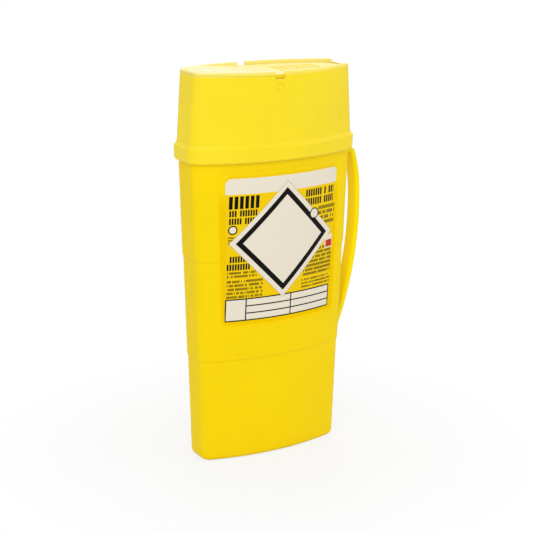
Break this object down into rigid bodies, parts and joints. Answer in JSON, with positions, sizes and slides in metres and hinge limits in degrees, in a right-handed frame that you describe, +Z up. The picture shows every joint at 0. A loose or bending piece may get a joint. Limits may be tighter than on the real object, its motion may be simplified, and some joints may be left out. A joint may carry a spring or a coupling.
{
  "type": "sharps container",
  "caption": "Slim drafted pocket sharps container with a carry strap, a clip-on lid, a see-saw flap on trunnions and a push-down securing tab.",
  "frame": {"origin": "middle of the tub's footprint, on the ground that the container stands on", "axes": "+Z up, +X towards the end that carries the strap, -Y towards the front wall with the label panel"},
  "size_m": [0.1129, 0.0486, 0.2195],
  "materials": {
    "tub_plastic": "satin deep yellow polypropylene",
    "lid_plastic": "satin light yellow polypropylene",
    "label_film": "printed self-adhesive film"
  },
  "bodies": {
    "container": {"container_body": "tub_plastic", "carry_handle": "tub_plastic", "lid_housing": "lid_plastic", "label_sheet": "label_film"},
    "flap": {"rocker_flap": "lid_plastic"},
    "tab": {"securing_tab": "lid_plastic"}
  },
  "joints": [
    {"name": "flap_rock", "type": "hinge", "parent": "container", "child": "flap", "pos_m": [-0.0038, 0, 0.2108], "axis": [0, 1, 0], "range_deg": [0, 40]},
    {"name": "tab_push", "type": "slide", "parent": "flap", "child": "tab", "axis": [0, 0, -1], "range_m": [0, 0.0032]}
  ]
}
